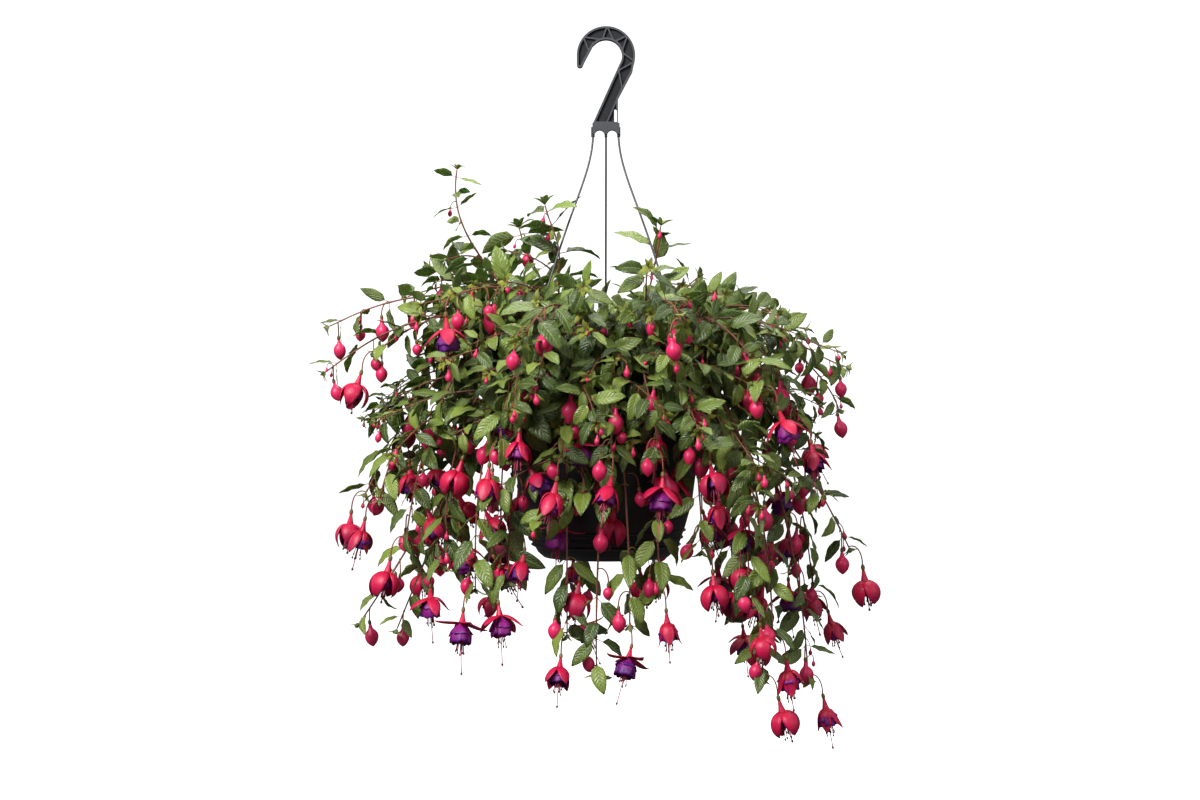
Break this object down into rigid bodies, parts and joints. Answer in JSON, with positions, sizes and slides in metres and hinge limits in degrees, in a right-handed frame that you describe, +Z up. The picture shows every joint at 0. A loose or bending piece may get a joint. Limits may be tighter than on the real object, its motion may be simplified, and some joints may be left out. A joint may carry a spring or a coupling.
{
  "type": "trailing fuchsia in a hanging basket",
  "caption": "Trailing fuchsia with red and violet flowers, growing in a round black plastic basket that hangs from a moulded hook on three strands.",
  "frame": {"origin": "centre of the hook's inner arc, where the rail or bracket that carries the basket passes through", "axes": "+Z up, -Y towards the viewer, +X to the viewer's right; the hook's width lies along Y"},
  "size_m": [0.695, 0.5836, 0.9029],
  "materials": {
    "hanger_plastic": "satin",
    "strand_plastic": "satin",
    "basket_plastic": "satin",
    "potting_medium": "matte",
    "woody_stem": "matte",
    "foliage": "satin",
    "flower": "satin",
    "bud": "satin"
  },
  "bodies": {
    "root": {"hook": "hanger_plastic", "basket": "basket_plastic", "growing_medium": "potting_medium", "strand_left": "strand_plastic", "strand_right": "strand_plastic", "strand_rear": "strand_plastic", "rim_clip_left": "hanger_plastic", "rim_clip_right": "hanger_plastic", "rim_clip_rear": "hanger_plastic", "crown_front": "woody_stem", "crown_right": "woody_stem", "crown_left": "woody_stem", "crest_left": "foliage", "shoulder_left": "foliage", "arm_left_high": "foliage", "arm_left_low": "foliage", "bunch_left_outer": "foliage", "bunch_left_middle": "foliage", "bunch_left_low": "foliage", "bunch_left_front": "foliage", "sprig_left": "foliage", "front_left_high": "foliage", "front_high": "foliage", "rim_left": "foliage", "rim_middle": "foliage", "rim_right": "foliage", "trail_middle_left": "foliage", "trail_middle_right": "foliage", "trail_right": "foliage", "bunch_right_inner": "foliage", "bunch_right_long": "foliage", "bunch_right_outer": "foliage", "bunch_right_side": "foliage", "front_right_high": "foliage", "arm_right_low": "foliage", "arm_right_high": "foliage", "shoulder_right": "foliage", "top_left": "foliage", "top_right": "foliage", "rear_right": "foliage", "bunch_rear_right": "foliage", "rear_high": "foliage", "rear_arm": "foliage", "bunch_rear": "foliage", "bunch_rear_left": "foliage", "flowers_left": "flower", "flowers_front": "flower", "flowers_right": "flower", "flowers_rear": "flower", "buds_left": "bud", "buds_front": "bud", "buds_right": "bud", "buds_rear": "bud"}
  },
  "joints": []
}
